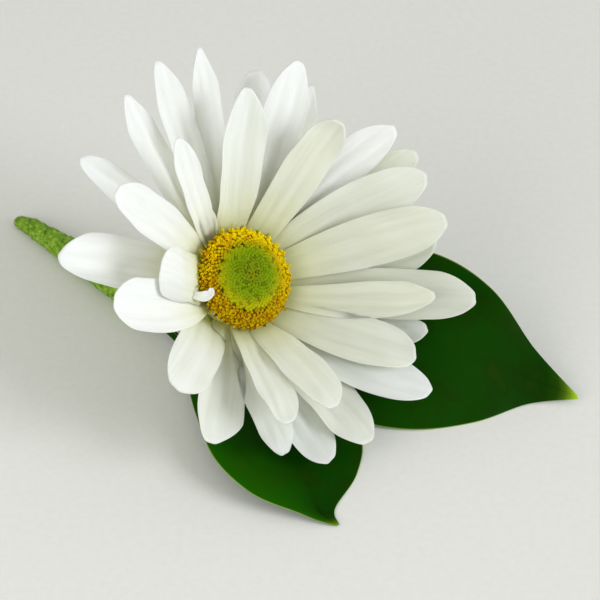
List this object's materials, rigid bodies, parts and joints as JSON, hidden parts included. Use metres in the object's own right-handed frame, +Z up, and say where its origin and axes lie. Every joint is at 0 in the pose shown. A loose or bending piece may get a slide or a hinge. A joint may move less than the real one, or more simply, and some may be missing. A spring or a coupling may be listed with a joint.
{
  "type": "daisy",
  "caption": "White daisy bloom with a green and yellow disc, its short bent stem bound with broad green leaves in florist's tape as a buttonhole, made to lie on a flat surface.",
  "frame": {"origin": "centre of the bounding box at its bottom, on the surface that the flower lies on", "axes": "+Z up; +X the longest way, from the tape's end towards the tip of the right leaf; the bloom faces up towards -Y and +X"},
  "size_m": [0.0924, 0.0682, 0.0499],
  "materials": {
    "petal_white": "matte",
    "floret_yellow": "matte",
    "bud_green": "matte",
    "stem_green": "satin",
    "tape_green": "satin",
    "leaf_dark_green": "satin"
  },
  "bodies": {
    "root": {"ray_florets": "petal_white", "disc_florets": "floret_yellow", "disc_buds": "bud_green", "stem_and_calyx": "stem_green", "stem_tape": "tape_green", "leaf_right": "leaf_dark_green", "leaf_front": "leaf_dark_green"}
  },
  "joints": []
}
